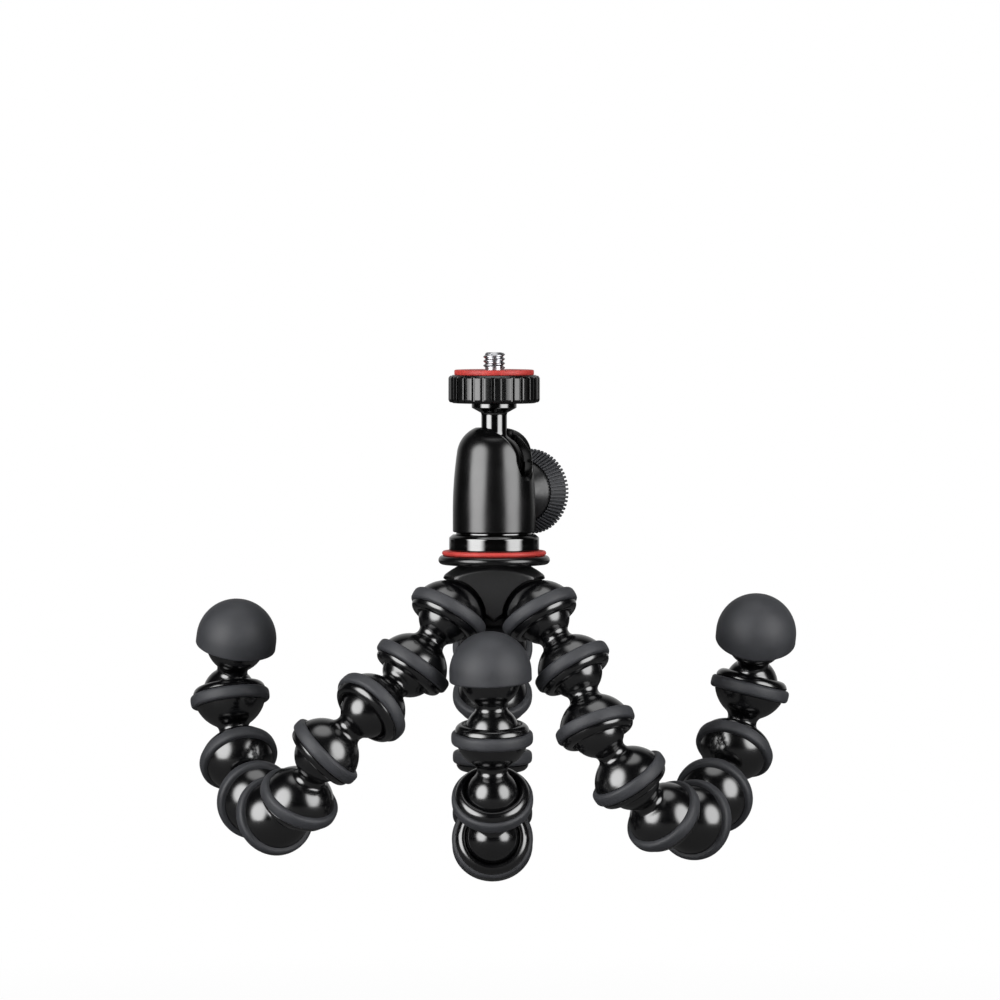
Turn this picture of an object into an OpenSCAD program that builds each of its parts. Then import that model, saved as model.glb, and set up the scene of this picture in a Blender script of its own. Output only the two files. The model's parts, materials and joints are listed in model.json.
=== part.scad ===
// Flexible leg tripod wrapped round a rail, with a small ball head.
// The origin lies on the rail's axis below the hub: +X along the rail, +Y to the back, +Z up.

/* [Leg links] */
// Distance from a link's ball to the ball that its cup holds
link_pitch = 18.6; // [18:0.1:20]
// Diameter of the ball
ball_d = 15.7; // [15.4:0.1:15.8]
// Clearance all round a ball in its cup
ball_gap = 0.15; // [0.1:0.01:0.2]
// Diameter of the neck behind the ball
neck_d = 9; // [8:0.1:9.2]
// Outer diameter of the domed cup
cup_d = 21.4; // [21.2:0.1:22]
// Radius of the cup's rounded lip
lip_r = 2.3; // [2.2:0.05:2.5]
// Height of the lip's middle above the ball's centre
lip_rise = 0.3; // [0.2:0.05:0.4]
// Angle from the cup's axis at which the cup stops holding the ball
mouth_angle = 77; // [76:0.5:79]
// Angle of the flare outside that edge
flare_angle = 40; // [35:1:45]

/* [Grip rings] */
// Height by which the rubber ring stands out of each cup
grip_proud = 1.05; // [0.9:0.05:1.2]
// Depth of the groove that the ring sits in
grip_depth = 0.8; // [0.7:0.05:0.9]
// Radius of the ring's rounded section
grip_section_r = 1.9; // [1.85:0.05:2]
// Distance of the ring's middle behind the ball's centre
grip_setback = 1.55; // [1.5:0.05:1.6]
// Clearance between the ring and its groove
grip_gap = 0.05; // [0.03:0.01:0.1]

/* [Feet] */
// Distance from a foot's ball to the middle of its cap
foot_pitch = 17.4; // [17:0.1:18.5]
// Outer diameter of the rubber cap
cap_d = 23.6; // [23:0.1:24]
// Thickness of the rubber cap
cap_wall = 2.8; // [2.6:0.1:3]
// Depth of the cap's skirt below its middle
cap_skirt = 2.6; // [2.4:0.1:2.8]
// Bevel round the lower edge of the skirt
cap_bevel = 0.2; // [0.1:0.05:0.2]
// Distance of the bowl's middle below the cap's middle
bowl_drop = 1.4; // [1:0.1:1.8]
// Diameter of the bowl that the cap covers
bowl_d = 17.6; // [17.2:0.1:17.8]
// Clearance between the cap and the bowl
cap_gap = 0.05; // [0.03:0.01:0.1]

/* [Hub] */
// Distance of the hub's axis in front of the rail's axis
hub_offset = 9.5; // [9:0.1:10]
// Distance of each socket's ball centre from the hub's axis
socket_radius = 16; // [15.8:0.1:17]
// Height of the sockets' ball centres above the rail's axis
socket_z = 31; // [30.5:0.1:32]
// Slope of the socket axes below the horizontal
socket_angle = 56; // [54:1:58]
// Diameter of the hub's neck under the flange
hub_neck_d = 20.8; // [20:0.1:22]
// Diameter of the hub where it is widest between the sockets
hub_waist_d = 26.6; // [26:0.1:27]
// Diameter of the hub's underside
hub_foot_d = 17; // [16:0.5:18]
// Height of the hub's top face above the socket centres
hub_top_rise = 14.8; // [14:0.1:16]
// Length of the neck and its flare
hub_neck_h = 3; // [2.6:0.1:3.4]
// Depth of the hub's underside below the socket centres
hub_depth = 2.5; // [2:0.1:4]

/* [Base stack] */
// Diameter of the hub's rounded top flange
flange_d = 32.2; // [31:0.1:34]
// Thickness of the top flange
flange_h = 2.6; // [2.4:0.1:3]
// Diameter of the red friction ring
friction_d = 30.1; // [29:0.1:30.6]
// Thickness of the red friction ring
friction_h = 1.4; // [1.2:0.1:1.8]
// Diameter of the hole in the friction ring, which holds the pan washer
friction_bore = 16; // [15:0.5:18]
// Diameter of the gloss base collar
collar_d = 26; // [25.4:0.1:26.6]
// Height of the base collar's band
collar_h = 4.6; // [4:0.1:5]
// Height of the chamfer on top of the collar
collar_chamfer = 1; // [0.6:0.1:1.4]
// Height of the groove between the collar and the housing
groove_h = 0.7; // [0.5:0.1:1]
// Depth of that groove
groove_depth = 1; // [0.6:0.1:1.4]
// Clearance between faces that turn on each other
turn_gap = 0.08; // [0.05:0.01:0.1]

/* [Fasteners] */
// Diameter of the tripod thread, a quarter inch
thread_d = 6.35; // [6.2:0.05:6.5]
// Clearance round a bolt or screw in its bore
bolt_gap = 0.1; // [0.05:0.01:0.15]
// Diameter of the base bolt's head
bolt_head_d = 9.6; // [9.2:0.1:10]
// Height of the base bolt's head
bolt_head_h = 6.3; // [5.8:0.1:6.5]
// Width across the flats of the bolt head's hexagon socket
bolt_key = 4.8; // [4:0.1:5]
// Depth of the bolt's washer seat below the hub's top
bolt_depth = 6.5; // [6:0.1:7]
// Distance of the bolt's tip below the insert's top
bolt_short = 1; // [0.5:0.1:2]
// Diameter of the washer under the bolt head
washer_d = 11.6; // [11:0.1:12]
// Thickness of the washer
washer_h = 1.2; // [1:0.1:1.6]
// Outer diameter of the threaded insert in the head's base
insert_d = 10; // [9.6:0.1:10.4]
// Length of the threaded insert
insert_h = 10; // [9:0.5:10]
// Space between the insert and the ball seat
insert_space = 0.6; // [0.4:0.1:1]

/* [Ball head] */
// Diameter of the ball housing at its base
housing_d = 24.4; // [24:0.1:24.8]
// Height of the ball housing
housing_h = 30.8; // [30:0.1:31.4]
// Diameter of the housing where its dome starts
dome_d = 21.6; // [21.4:0.1:22]
// Radius of the dome's rounding
dome_r = 8.85; // [8.6:0.05:9]
// Height of the head ball's centre above the housing's base
head_ball_rise = 20.2; // [20:0.1:20.6]
// Diameter of the head ball
head_ball_d = 17; // [16.6:0.1:17.2]
// Diameter of the ball's stem
stem_d = 7.4; // [7:0.1:7.6]
// Diameter of the opening on top of the housing
opening_d = 11; // [10.8:0.1:11.2]
// Width of the drop notch
notch_w = 8.4; // [8.2:0.1:8.8]
// Direction of the drop notch, round from the front
notch_angle = 59; // [55:1:65]
// Diameter of the small flange under the lock disc
stud_flange_d = 13; // [12:0.1:14]
// Thickness of that flange
stud_flange_h = 1.3; // [1:0.1:1.6]
// Height of the taper from that flange to the stem
stud_taper_h = 1.4; // [1:0.1:2]
// Diameter of the spindle inside the lock disc
spindle_d = 8.4; // [8:0.1:9]
// Height of the lock disc's underside above the ball's centre
disc_rise = 17; // [16:0.1:18]
// Diameter of the fluted lock disc
disc_d = 26.4; // [25.5:0.1:27]
// Height of the lock disc
disc_h = 8.1; // [7.6:0.1:8.5]
// Thickness of the lock disc above the spindle
disc_roof = 2.4; // [2:0.1:3]
// Number of flutes round the lock disc
flute_count = 28; // [24:2:32]
// Width of a flute
flute_w = 1.6; // [1.2:0.1:1.8]
// Depth of a flute
flute_depth = 0.55; // [0.4:0.05:0.6]
// Diameter of the red camera pad
pad_d = 23; // [22:0.1:24]
// Thickness of the camera pad
pad_h = 1.5; // [1.2:0.1:2]
// Length of the camera screw above the pad
screw_reach = 5; // [4:0.1:5.5]
// Diameter of the camera screw's root in the disc and the pad
screw_root_d = 7.4; // [7:0.1:7.8]

/* [Locking knob] */
// Direction of the knob, round from the front
knob_angle = 151; // [148:1:154]
// Height of the knob's axis above the housing's base
knob_rise = 11; // [10.8:0.1:11.6]
// Distance of the flat boss face from the head's axis
boss_reach = 12.4; // [12.2:0.1:13]
// Width of the boss
boss_w = 12.8; // [11:0.1:14]
// Height of the boss above the housing's base
boss_h = 17.2; // [16.5:0.1:18]
// Diameter of the knob
knob_d = 24.8; // [24:0.1:25.4]
// Diameter of the knob's core
knob_core_d = 18; // [17:0.1:18.6]
// Diameter of the knob's core beside the boss
knob_neck_d = 12; // [11:0.1:13]
// Distance of the knob's outer face from the head's axis
knob_reach = 22.6; // [22.4:0.1:23.4]
// Width of the knob's cylindrical rim
knob_rim_w = 1; // [0.8:0.1:1.4]
// Width of the ribbed cone between the core and the rim
knob_cone_w = 4.8; // [4.4:0.1:5]
// Thickness of the grip at its thin edge
knob_edge = 0.3; // [0.3:0.05:0.6]
// Thickness of the knob's closed end
knob_end_w = 1; // [0.8:0.1:1.5]
// Gap between the boss and the knob's core
knob_gap = 0.6; // [0.4:0.1:0.8]
// Diameter of the knob screw
knob_screw_d = 6; // [5.6:0.1:6.4]
// Diameter of the brake plunger
plunger_d = 5; // [4.6:0.1:5.4]
// Length of the brake plunger
plunger_l = 2.5; // [2.3:0.1:2.8]
// Travel of the brake plunger when the knob is opened
plunger_travel = 0.75; // [0.5:0.05:0.8]

/* [Hidden] */
$fn = 64;
// Reach of a cut that goes right through, and how far a cut starts outside the face it opens.
far = 60;
over = 1;

// Directions of the links from the hub to the foot: turn round from the front, and slope upwards.
right_pose = [[61, -55], [50, -64], [109, -55], [136, -38], [150, -5], [160, 20], [150, 46],
              [100, 76], [8, 62]];
left_pose = [[289, -54], [308, -36], [263, -44], [219, -51], [205, -17], [199, 12], [203, 39],
             [208, 74], [24, 71]];
back_pose = [[182, -40], [180, -55], [180, -88], [0, -57], [0, -22], [0, 13], [0, 46],
             [358, 82], [345, 84]];
link_count = len(right_pose) - 1;
right_leg_angle = 60;
left_leg_angle = -60;
back_leg_angle = 180;

ball_r = ball_d / 2;
cup_r = cup_d / 2;
hollow_r = ball_r + ball_gap;
mouth_r = hollow_r * sin(mouth_angle);
mouth_z = hollow_r * cos(mouth_angle);
lip_top = lip_rise + lip_r;
lip_mid_r = cup_r - lip_r;
grip_r = cup_r + grip_proud;
grip_seat_r = cup_r - grip_depth;
grip_mid_r = grip_r - grip_section_r;
grip_half_w = sqrt(pow(grip_section_r, 2) - pow(grip_seat_r - grip_mid_r, 2));
cap_r = cap_d / 2;
skirt_step = 0.05;
skirt_r = cap_r - skirt_step;
core_r = cap_r - cap_wall;
bowl_r = bowl_d / 2;

hub_top_z = socket_z + hub_top_rise;
flange_top_z = hub_top_z + flange_h;
friction_top_z = flange_top_z + friction_h;
collar_z = friction_top_z + turn_gap;
housing_z = collar_z + collar_h + groove_h;
head_ball_z = housing_z + head_ball_rise;
head_hollow_r = head_ball_d / 2 + ball_gap;
seat_step = 0.3;
seat_wall_r = head_hollow_r + seat_step;
seat_floor_z = collar_z + insert_h + insert_space;
seat_top_z = head_ball_z - head_ball_d / 4;
knob_z = housing_z + knob_rise;
disc_z = head_ball_z + disc_rise;
pad_z = disc_z + disc_h;
pad_top_z = pad_z + pad_h;
spindle_h = disc_h - disc_roof;
bolt_r = thread_d / 2;
bolt_bore_r = bolt_r + bolt_gap;
bolt_seat_z = hub_top_z - bolt_depth;
bolt_head_z = bolt_seat_z - washer_h;
head_y = -hub_offset;
dome_mid_r = dome_d / 2 - dome_r;
dome_angle_step = 6;
plunger_top = head_ball_rise - knob_rise - plunger_d / 2;
plunger_tip = sqrt(pow(head_ball_d / 2 + turn_gap, 2) - pow(plunger_top, 2));
plunger_end = plunger_tip + plunger_l;
knob_face = boss_reach + knob_gap;
cone_face = knob_reach - knob_rim_w - knob_cone_w;
knob_bore_end = knob_reach - knob_end_w;

// Unit vector of a direction given as a turn round from the front and a slope.
function heading(aim) = [sin(aim[0]) * cos(aim[1]), -cos(aim[0]) * cos(aim[1]), sin(aim[1])];

// Ball centre of a leg's hub socket.
function socket_at(turn) = [socket_radius * sin(turn), head_y - socket_radius * cos(turn), socket_z];

// Ball centre of a leg's link number k, counted from 1 at the hub.
function ball_at(turn, pose, k) =
    k == 1 ? socket_at(turn) : ball_at(turn, pose, k - 1) + link_pitch * heading(pose[k - 2]);

// Puts the Z axis along a direction, with the origin at a point.
module along(point, aim) {
    translate(point) rotate([0, 90 - aim[1], aim[0] - 90]) children();
}

// Puts the X axis along the head's direction turned round from the front.
module head_side(turn, z) {
    translate([0, head_y, z]) rotate(turn - 90) children();
}

// Ball and neck, from the ball's centre along Z.
module ball_and_neck(length) {
    sphere(ball_r);
    cylinder(h = length, r = neck_d / 2);
}

// Space inside a cup: the ball's hollow and the flared mouth.
module cup_hollow() {
    sphere(hollow_r);
    mouth_h = lip_top - mouth_z + over;
    translate([0, 0, mouth_z])
        cylinder(h = mouth_h, r1 = mouth_r, r2 = mouth_r + mouth_h * tan(flare_angle));
}

// Rounded lip of a cup.
module cup_lip() {
    translate([0, 0, lip_rise]) rotate_extrude() translate([lip_mid_r, 0]) circle(lip_r);
}

// Solid dome of a cup with its rounded lip, round the held ball's centre.
module cup_dome() {
    difference() {
        sphere(cup_r);
        translate([0, 0, lip_rise]) cylinder(h = far, r = far);
    }
    cup_lip();
}

// Groove round a cup for the rubber ring.
module ring_groove() {
    translate([0, 0, -grip_setback - grip_half_w]) difference() {
        cylinder(h = 2 * grip_half_w, r = grip_r + grip_gap);
        cylinder(h = 2 * grip_half_w, r = grip_seat_r);
    }
}

// Rubber ring in the groove of a cup.
module grip_ring() {
    difference() {
        translate([0, 0, -grip_setback]) rotate_extrude() translate([grip_mid_r, 0]) circle(grip_section_r);
        cylinder(h = far, r = grip_seat_r + grip_gap, center = true);
    }
}

// One leg link: the plastic moulding and its rubber ring, two separate solids.
module leg_link(turn, pose, k) {
    along(ball_at(turn, pose, k), pose[k - 1]) {
        color("#1b1b1d") difference() {
            union() {
                ball_and_neck(link_pitch - hollow_r);
                translate([0, 0, link_pitch]) cup_dome();
            }
            translate([0, 0, link_pitch]) {
                cup_hollow();
                ring_groove();
            }
        }
        color("#55575c") translate([0, 0, link_pitch]) grip_ring();
    }
}

// Foot moulding: ball, neck and the bowl inside the cap.
module foot_core(turn, pose) {
    color("#1b1b1d") along(ball_at(turn, pose, link_count + 1), pose[link_count]) {
        ball_and_neck(foot_pitch);
        translate([0, 0, foot_pitch]) sphere(core_r - cap_gap);
        translate([0, 0, foot_pitch - bowl_drop]) sphere(bowl_r - cap_gap);
    }
}

// Domed rubber cap over the bowl, with a straight skirt.
module foot_cap(turn, pose) {
    color("#55575c") along(ball_at(turn, pose, link_count + 1), pose[link_count]) difference() {
        union() {
            translate([0, 0, foot_pitch]) sphere(cap_r);
            translate([0, 0, foot_pitch - cap_skirt + cap_bevel])
                cylinder(h = cap_skirt - cap_bevel, r = skirt_r);
            translate([0, 0, foot_pitch - cap_skirt])
                cylinder(h = cap_bevel, r1 = skirt_r - cap_bevel, r2 = skirt_r);
        }
        translate([0, 0, foot_pitch]) sphere(core_r);
        translate([0, 0, foot_pitch - bowl_drop]) sphere(bowl_r);
        translate([0, 0, foot_pitch - cap_skirt - far]) cylinder(h = far, r = far);
    }
}

// Places the children in each of the hub's three sockets, with Z out of the socket.
module sockets() {
    for (turn = [right_leg_angle, left_leg_angle, back_leg_angle])
        along(socket_at(turn), [turn, -socket_angle]) children();
}

module hub_body() {
    color("#1b1b1d") difference() {
        union() {
            translate([0, head_y, 0]) {
                translate([0, 0, hub_top_z - hub_neck_h])
                    cylinder(h = hub_neck_h, r1 = hub_waist_d / 2, r2 = hub_neck_d / 2);
                translate([0, 0, socket_z - hub_depth])
                    cylinder(h = hub_top_rise - hub_neck_h + hub_depth,
                             r1 = hub_foot_d / 2, r2 = hub_waist_d / 2);
            }
            sockets() cup_dome();
        }
        sockets() cup_hollow();
        sockets() ring_groove();
        sockets() socket_clearance();
        translate([0, head_y, 0]) {
            cylinder(h = far, r = bolt_bore_r);
            translate([0, 0, bolt_seat_z - far]) cylinder(h = far, r = washer_d / 2 + bolt_gap);
        }
    }
}

// Space in front of a socket that the leg's lip and ring keep free.
module socket_clearance() {
    translate([0, 0, lip_top]) cylinder(h = far, r = grip_r);
    translate([0, 0, -grip_setback - grip_half_w]) difference() {
        cylinder(h = far, r = grip_r + grip_gap);
        cylinder(h = grip_setback + grip_half_w + lip_rise, r = cup_r);
        translate([0, 0, grip_setback + grip_half_w]) cup_lip();
    }
}

module hub_grip_rings() {
    color("#55575c") sockets() grip_ring();
}

module top_flange() {
    color("#1b1b1d") translate([0, head_y, hub_top_z]) difference() {
        union() {
            cylinder(h = flange_h, r = flange_d / 2 - flange_h / 2);
            translate([0, 0, flange_h / 2]) rotate_extrude()
                translate([flange_d / 2 - flange_h / 2, 0]) circle(flange_h / 2);
        }
        cylinder(h = far, r = bolt_bore_r, center = true);
    }
}

module friction_ring() {
    color("#c8423e") translate([0, head_y, flange_top_z]) difference() {
        cylinder(h = friction_h, r = friction_d / 2);
        cylinder(h = far, r = friction_bore / 2, center = true);
    }
}

module pan_washer() {
    color("#e8e4da") translate([0, head_y, flange_top_z]) difference() {
        cylinder(h = friction_h, r = friction_bore / 2 - bolt_gap);
        cylinder(h = far, r = bolt_bore_r, center = true);
    }
}

module base_bolt() {
    color("silver") translate([0, head_y, 0]) difference() {
        union() {
            translate([0, 0, bolt_head_z - bolt_head_h]) cylinder(h = bolt_head_h, r = bolt_head_d / 2);
            translate([0, 0, bolt_head_z])
                cylinder(h = collar_z + insert_h - bolt_short - bolt_head_z, r = bolt_r);
        }
        translate([0, 0, bolt_head_z - bolt_head_h - over])
            cylinder(h = bolt_head_h / 2 + over, d = bolt_key / cos(30), $fn = 6);
    }
}

module bolt_washer() {
    color("silver") translate([0, head_y, bolt_head_z]) difference() {
        cylinder(h = washer_h, r = washer_d / 2);
        cylinder(h = far, r = bolt_bore_r, center = true);
    }
}

module base_collar() {
    color("#141416") translate([0, head_y, collar_z]) difference() {
        union() {
            cylinder(h = collar_h - collar_chamfer, r = collar_d / 2);
            translate([0, 0, collar_h - collar_chamfer])
                cylinder(h = collar_chamfer, r1 = collar_d / 2, r2 = collar_d / 2 - collar_chamfer);
            cylinder(h = collar_h + groove_h, r = housing_d / 2 - groove_depth);
        }
        cylinder(h = far, r = insert_d / 2, center = true);
    }
}

module threaded_insert() {
    color("#b08d3c") translate([0, head_y, collar_z]) difference() {
        cylinder(h = insert_h, r = insert_d / 2 - grip_gap);
        cylinder(h = far, r = bolt_bore_r, center = true);
    }
}

// Half outline of the bullet-shaped housing, from its base up round the dome.
function housing_half() = concat(
    [[housing_d / 2, 0]],
    [for (a = [0 : dome_angle_step : 90])
        [dome_mid_r + dome_r * cos(a), housing_h - dome_r + dome_r * sin(a)]]);

// Flat boss on the housing, which carries the knob screw.
module housing_boss() {
    translate([0, -boss_w / 2, 0]) cube([boss_reach, boss_w, boss_h]);
}

module ball_housing() {
    color("#2a2a2c") difference() {
        union() {
            translate([0, head_y, housing_z]) rotate_extrude()
                polygon(concat([[0, 0]], housing_half(), [[0, housing_h]]));
            head_side(knob_angle, housing_z) housing_boss();
        }
        translate([0, head_y, head_ball_z]) sphere(head_hollow_r);
        translate([0, head_y, head_ball_z]) cylinder(h = far, r = opening_d / 2);
        translate([0, head_y, seat_floor_z]) cylinder(h = head_ball_z - seat_floor_z, r = seat_wall_r);
        translate([0, head_y, 0]) cylinder(h = seat_floor_z, r = insert_d / 2);
        head_side(notch_angle, head_ball_z) {
            rotate([0, 90, 0]) cylinder(h = far, r = notch_w / 2);
            translate([0, -notch_w / 2, 0]) cube([far, notch_w, far]);
        }
        head_side(knob_angle, knob_z) rotate([0, 90, 0]) cylinder(h = far, r = knob_screw_d / 2 + bolt_gap);
    }
}

module ball_seat() {
    color("#e8e4da") difference() {
        translate([0, head_y, seat_floor_z])
            cylinder(h = seat_top_z - seat_floor_z, r = seat_wall_r - grip_gap);
        translate([0, head_y, head_ball_z]) sphere(head_hollow_r);
        head_side(knob_angle, knob_z) {
            translate([plunger_tip - bolt_gap, 0, 0]) rotate([0, 90, 0])
                cylinder(h = far, r = plunger_d / 2 + bolt_gap);
        }
    }
}

module ball_stud() {
    color("#1b1b1d") translate([0, head_y, head_ball_z]) {
        sphere(head_ball_d / 2);
        cylinder(h = disc_rise, r = stem_d / 2);
        translate([0, 0, disc_rise - stud_flange_h - stud_taper_h - turn_gap])
            cylinder(h = stud_taper_h, r1 = stem_d / 2, r2 = stud_flange_d / 2);
        translate([0, 0, disc_rise - stud_flange_h - turn_gap]) {
            cylinder(h = stud_flange_h, r = stud_flange_d / 2);
            cylinder(h = stud_flange_h + turn_gap + spindle_h, r = spindle_d / 2);
        }
    }
}

module lock_disc() {
    color("#3a3a3c") translate([0, head_y, disc_z]) difference() {
        cylinder(h = disc_h, r = disc_d / 2);
        for (k = [1 : flute_count])
            rotate(k * 360 / flute_count) translate([disc_d / 2 + flute_w / 2 - flute_depth, 0, -over])
                cylinder(h = disc_h + 2 * over, r = flute_w / 2);
        translate([0, 0, -over]) cylinder(h = over + spindle_h + turn_gap, r = spindle_d / 2 + turn_gap);
        cylinder(h = far, r = screw_root_d / 2 + grip_gap);
    }
}

module camera_pad() {
    color("#c8423e") translate([0, head_y, pad_z]) difference() {
        cylinder(h = pad_h, r = pad_d / 2);
        cylinder(h = far, r = screw_root_d / 2 + bolt_gap, center = true);
    }
}

module camera_screw() {
    root_z = disc_z + spindle_h + 2 * turn_gap;
    color("silver") translate([0, head_y, 0]) {
        translate([0, 0, root_z]) cylinder(h = pad_top_z - root_z, r = screw_root_d / 2);
        translate([0, 0, pad_top_z]) cylinder(h = screw_reach, r = thread_d / 2);
    }
}

module brake_plunger() {
    color("silver") head_side(knob_angle, knob_z) translate([plunger_tip, 0, 0]) rotate([0, 90, 0])
        cylinder(h = plunger_end - plunger_tip, r = plunger_d / 2);
}

module knob_screw() {
    screw_from = max(plunger_end + plunger_travel, seat_wall_r) + turn_gap;
    color("silver") head_side(knob_angle, knob_z) translate([screw_from, 0, 0]) rotate([0, 90, 0])
        cylinder(h = knob_bore_end - turn_gap - screw_from, r = knob_screw_d / 2);
}

module knob_core() {
    color("#3a3a3c") head_side(knob_angle, knob_z) rotate([0, 90, 0]) difference() {
        union() {
            translate([0, 0, knob_face])
                cylinder(h = cone_face - knob_face, r1 = knob_neck_d / 2, r2 = knob_core_d / 2);
            translate([0, 0, cone_face]) cylinder(h = knob_reach - cone_face, r = knob_core_d / 2);
        }
        cylinder(h = knob_bore_end, r = knob_screw_d / 2 + grip_gap);
    }
}

module knob_grip() {
    color("#1b1b1d") head_side(knob_angle, knob_z) rotate([0, 90, 0]) difference() {
        union() {
            translate([0, 0, cone_face])
                cylinder(h = knob_cone_w, r1 = knob_core_d / 2 + knob_edge, r2 = knob_d / 2);
            translate([0, 0, cone_face + knob_cone_w]) cylinder(h = knob_rim_w, r = knob_d / 2);
        }
        cylinder(h = far, r = knob_core_d / 2 + grip_gap);
    }
}

for (k = [1 : link_count]) {
    leg_link(right_leg_angle, right_pose, k);
    leg_link(left_leg_angle, left_pose, k);
    leg_link(back_leg_angle, back_pose, k);
}
foot_core(right_leg_angle, right_pose);  // right_foot_core
foot_core(left_leg_angle, left_pose);  // left_foot_core
foot_core(back_leg_angle, back_pose);  // back_foot_core
foot_cap(right_leg_angle, right_pose);  // right_foot_cap
foot_cap(left_leg_angle, left_pose);  // left_foot_cap
foot_cap(back_leg_angle, back_pose);  // back_foot_cap
hub_body();
hub_grip_rings();
top_flange();
friction_ring();
pan_washer();
base_bolt();
bolt_washer();
base_collar();
threaded_insert();
ball_housing();
ball_seat();
ball_stud();
lock_disc();
camera_pad();
camera_screw();
brake_plunger();
knob_screw();
knob_core();
knob_grip();
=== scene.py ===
# %% [markdown]
# # A flexible leg tripod
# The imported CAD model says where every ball, ring and screw of the tripod sits. This lesson dresses that
# frame: each solid that shows gets a finer mesh with soft edges, and each finish gets its own material.
# The tripod hangs in the air here, with its three legs curled as they are when they hold on to something.

# %% Load the frame
import json
import math

import bmesh
import bpy
from mathutils import Matrix, Vector


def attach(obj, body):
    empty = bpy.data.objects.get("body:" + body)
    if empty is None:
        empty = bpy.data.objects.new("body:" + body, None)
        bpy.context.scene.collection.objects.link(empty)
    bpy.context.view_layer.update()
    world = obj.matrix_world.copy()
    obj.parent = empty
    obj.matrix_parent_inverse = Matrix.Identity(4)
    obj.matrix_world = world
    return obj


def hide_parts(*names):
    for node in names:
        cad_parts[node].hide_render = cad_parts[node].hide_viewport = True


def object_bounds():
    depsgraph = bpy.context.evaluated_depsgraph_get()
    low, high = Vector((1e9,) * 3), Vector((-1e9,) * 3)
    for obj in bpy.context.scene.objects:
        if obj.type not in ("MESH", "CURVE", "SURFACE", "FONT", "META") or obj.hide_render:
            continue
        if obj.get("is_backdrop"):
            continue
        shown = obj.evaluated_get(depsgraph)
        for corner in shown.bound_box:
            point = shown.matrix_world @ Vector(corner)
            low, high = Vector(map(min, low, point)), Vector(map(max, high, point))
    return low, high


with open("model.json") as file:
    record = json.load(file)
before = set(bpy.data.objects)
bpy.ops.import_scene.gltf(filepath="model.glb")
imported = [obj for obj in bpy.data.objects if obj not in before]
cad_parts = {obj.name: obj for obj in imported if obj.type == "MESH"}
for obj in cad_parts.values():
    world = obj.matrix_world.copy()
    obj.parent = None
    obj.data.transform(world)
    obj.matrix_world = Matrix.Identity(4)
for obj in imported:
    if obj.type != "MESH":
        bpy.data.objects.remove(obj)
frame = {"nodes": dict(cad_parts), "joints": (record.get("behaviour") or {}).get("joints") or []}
cad_low, cad_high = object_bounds()
joints = {j["name"]: j for j in frame["joints"]}
MM = 0.001

# %% [markdown]
# ## Colours and shader nodes
# Colours are written as the hex values that a paint program shows. Shader sockets want linear light, so one
# function converts them. A second small function adds a shader node, sets its fields and links its inputs,
# which keeps each material short enough to read as a recipe.

# %% Helpers for materials
def linear(hex_colour):
    """The linear RGBA of an sRGB hex colour."""
    parts = [int(hex_colour[i:i + 2], 16) / 255 for i in (1, 3, 5)]
    return [p / 12.92 if p <= 0.04045 else ((p + 0.055) / 1.055) ** 2.4 for p in parts] + [1.0]


def add(tree, kind, settings=None, links=None):
    """Add a node of a kind, set its sockets and fields, and link other nodes' outputs to its inputs."""
    node = tree.nodes.new(kind)
    for key, value in (settings or {}).items():
        if key == "ramp":
            for stop, (place, colour) in zip(node.color_ramp.elements, value):
                stop.position = place
                stop.color = colour
        elif isinstance(key, int) or key in node.inputs:
            node.inputs[key].default_value = value
        else:
            setattr(node, key, value)
    for key, source in (links or {}).items():
        tree.links.new(source, node.inputs[key])
    return node


def start(name):
    """A new empty material's node tree."""
    material = bpy.data.materials.new(name)
    material.use_nodes = True
    material.node_tree.nodes.clear()
    return material, material.node_tree


def per_metre(size_mm):
    """The noise scale, in cells a metre, of a pattern whose features are this many millimetres."""
    return 1 / (size_mm * MM)


print("black plastic in linear light:", [round(v, 4) for v in linear("#0c0c0d")])

# %% [markdown]
# ## Gloss black ABS
# The links are injection moulded in black ABS from a polished mould. The eye sees sharp reflections of the
# studio lamps that ripple a little, because moulded plastic is never quite flat. A soft millimetre-scale
# ripple goes into the bump, and a few slow changes of roughness stand for handling marks. The IOR is above
# the 1.54 of real ABS, to bring the reflections up to their brightness in the photograph.

# %% Gloss black ABS
abs_black, tree = start("gloss_black_abs")
place = add(tree, "ShaderNodeTexCoord")
handling = add(tree, "ShaderNodeTexNoise", {"Scale": per_metre(5), "Detail": 4.0, "Roughness": 0.6},
               {"Vector": place.outputs["Object"]})
ripple = add(tree, "ShaderNodeTexNoise", {"Scale": per_metre(1.6), "Detail": 2.0},
             {"Vector": place.outputs["Object"]})
tint = add(tree, "ShaderNodeValToRGB", {"ramp": [(0.35, linear("#020203")), (0.7, linear("#050506"))]},
           {"Fac": handling.outputs["Fac"]})
gloss = add(tree, "ShaderNodeMapRange", {"From Min": 0.3, "From Max": 0.75, "To Min": 0.15, "To Max": 0.22},
            {"Value": handling.outputs["Fac"]})
bump = add(tree, "ShaderNodeBump", {"Strength": 0.05, "Distance": 0.1 * MM},
           {"Height": ripple.outputs["Fac"]})
shader = add(tree, "ShaderNodeBsdfPrincipled", {"IOR": 1.85},
             {"Base Color": tint.outputs["Color"], "Roughness": gloss.outputs["Result"],
              "Normal": bump.outputs["Normal"]})
add(tree, "ShaderNodeOutputMaterial", links={"Surface": shader.outputs["BSDF"]})
print("made", abs_black.name)

# %% [markdown]
# ## Satin and grained black ABS
# The flange comes from a dull part of the mould, so it spreads the lamps into soft patches. The hub's shields
# come from a spark-eroded part and are grained: they scatter the lamps into an even dark grey instead of
# mirroring them. The grain is about 0.15 mm fine and is drawn at 0.4 mm.

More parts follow.
